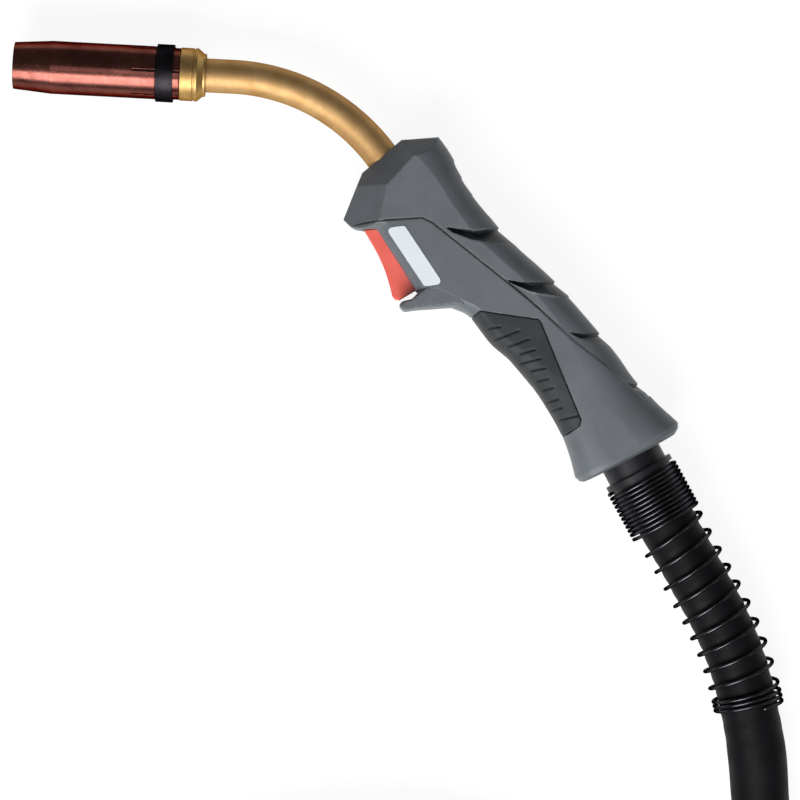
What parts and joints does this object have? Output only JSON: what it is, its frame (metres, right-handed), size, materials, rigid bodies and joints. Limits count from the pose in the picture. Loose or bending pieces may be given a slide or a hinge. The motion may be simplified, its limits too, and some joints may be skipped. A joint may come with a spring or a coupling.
{
  "type": "mig welding torch",
  "caption": "Pistol-grip welding torch with a copper gas nozzle, bent brass neck, trigger, ball joint with a support spring, and a coiled hose that ends in a plug.",
  "frame": {"origin": "on the flat of the handle's right side, on which the torch lies, 60 mm behind the handle's front face along its axis", "axes": "-Z out of the handle's right side, -X along the nozzle's axis towards its mouth, +Y from the handle towards the nozzle's axis"},
  "size_m": [0.4333, 0.7613, 0.0583],
  "materials": {
    "nozzle_copper": "dark lacquered copper, slightly polished",
    "clip_steel": "blackened spring steel",
    "seat_fibre": "heat-resistant insulating fibre",
    "diffuser_white": "white heat-resistant plastic",
    "inner_brass": "turned brass",
    "tip_copper": "turned copper alloy",
    "collar_brass": "knurled brass",
    "neck_brass": "smooth brass with a satin lacquer",
    "guide_plastic": "natural low-friction plastic",
    "handle_grey": "fine-grained dark grey plastic",
    "grip_rubber": "soft black rubber with a tread",
    "plate_white": "plain white plate",
    "bright_steel": "zinc-plated steel",
    "trigger_red": "light red plastic",
    "switch_black": "black switch case",
    "plunger_red": "red plastic",
    "lead_rubber": "insulated leads",
    "joint_black": "smooth black plastic",
    "spring_black": "black coated spring wire",
    "hose_black": "black sleeved hose",
    "strap_fabric": "black woven strap",
    "boot_rubber": "black rubber",
    "plug_grey": "dark grey plastic",
    "nut_black": "ribbed black plastic"
  },
  "bodies": {
    "hose": {"joint_ball": "joint_black", "support_spring": "spring_black", "hose_lead": "hose_black", "hose_coil": "hose_black", "hose_tail": "hose_black", "coil_straps": "strap_fabric", "plug_boot": "boot_rubber", "plug_housing": "plug_grey", "plug_body": "inner_brass", "gas_spigot": "bright_steel", "spigot_seal": "boot_rubber"},
    "liner": {"ball_liner": "guide_plastic"},
    "torch": {"handle_shell_left": "handle_grey", "handle_shell_right": "handle_grey", "grip_insert": "grip_rubber", "label_plate": "plate_white", "shell_screws": "bright_steel", "swan_neck": "neck_brass", "neck_collar": "collar_brass", "nozzle_seat": "seat_fibre", "gas_diffuser": "diffuser_white", "tip_holder": "inner_brass", "contact_tip": "tip_copper", "wire_liner": "guide_plastic", "power_block": "inner_brass", "trigger_pin": "bright_steel", "trigger_spring": "bright_steel", "microswitch": "switch_black", "inner_leads": "lead_rubber"},
    "nozzle": {"gas_nozzle": "nozzle_copper", "nozzle_clip_ring": "clip_steel"},
    "trigger": {"trigger": "trigger_red"},
    "plunger": {"switch_plunger": "plunger_red"},
    "nut": {"coupling_nut": "nut_black"},
    "contacts": {"contact_pins": "inner_brass"}
  },
  "joints": [
    {"name": "ball_spin", "type": "hinge", "parent": "hose", "child": "liner", "pos_m": [0.07291, -0.05796, 0.021], "axis": [0.5255, -0.8508, 0], "range_deg": [-30, 30]},
    {"name": "ball_tilt", "type": "hinge", "parent": "liner", "child": "torch", "pos_m": [0.07291, -0.05796, 0.021], "axis": [0, 0, 1], "range_deg": [-12, 12]},
    {"name": "nozzle_slide", "type": "slide", "parent": "torch", "child": "nozzle", "axis": [-1, 0, 0], "range_m": [0, 0.022]},
    {"name": "trigger_press", "type": "hinge", "parent": "torch", "child": "trigger", "pos_m": [-0.0289, 0.01687, 0.021], "axis": [0, 0, 1], "range_deg": [0, 6], "stiffness_Nm_per_rad": 0.8},
    {"name": "plunger_slide", "type": "slide", "parent": "torch", "child": "plunger", "axis": [0.7349, 0.6782, 0], "range_m": [0, 0.00185]},
    {"name": "nut_spin", "type": "hinge", "parent": "hose", "child": "nut", "pos_m": [-0.217, -0.6414, 0.024], "axis": [-1, 0, 0], "continuous": true},
    {"name": "contact_slide", "type": "slide", "parent": "hose", "child": "contacts", "axis": [1, 0, 0], "range_m": [0, 0.003], "stiffness_N_per_m": 400}
  ],
  "couplings": [
    {"joint": "plunger_slide", "follows": "trigger_press", "m_per_rad": 0.0172}
  ]
}
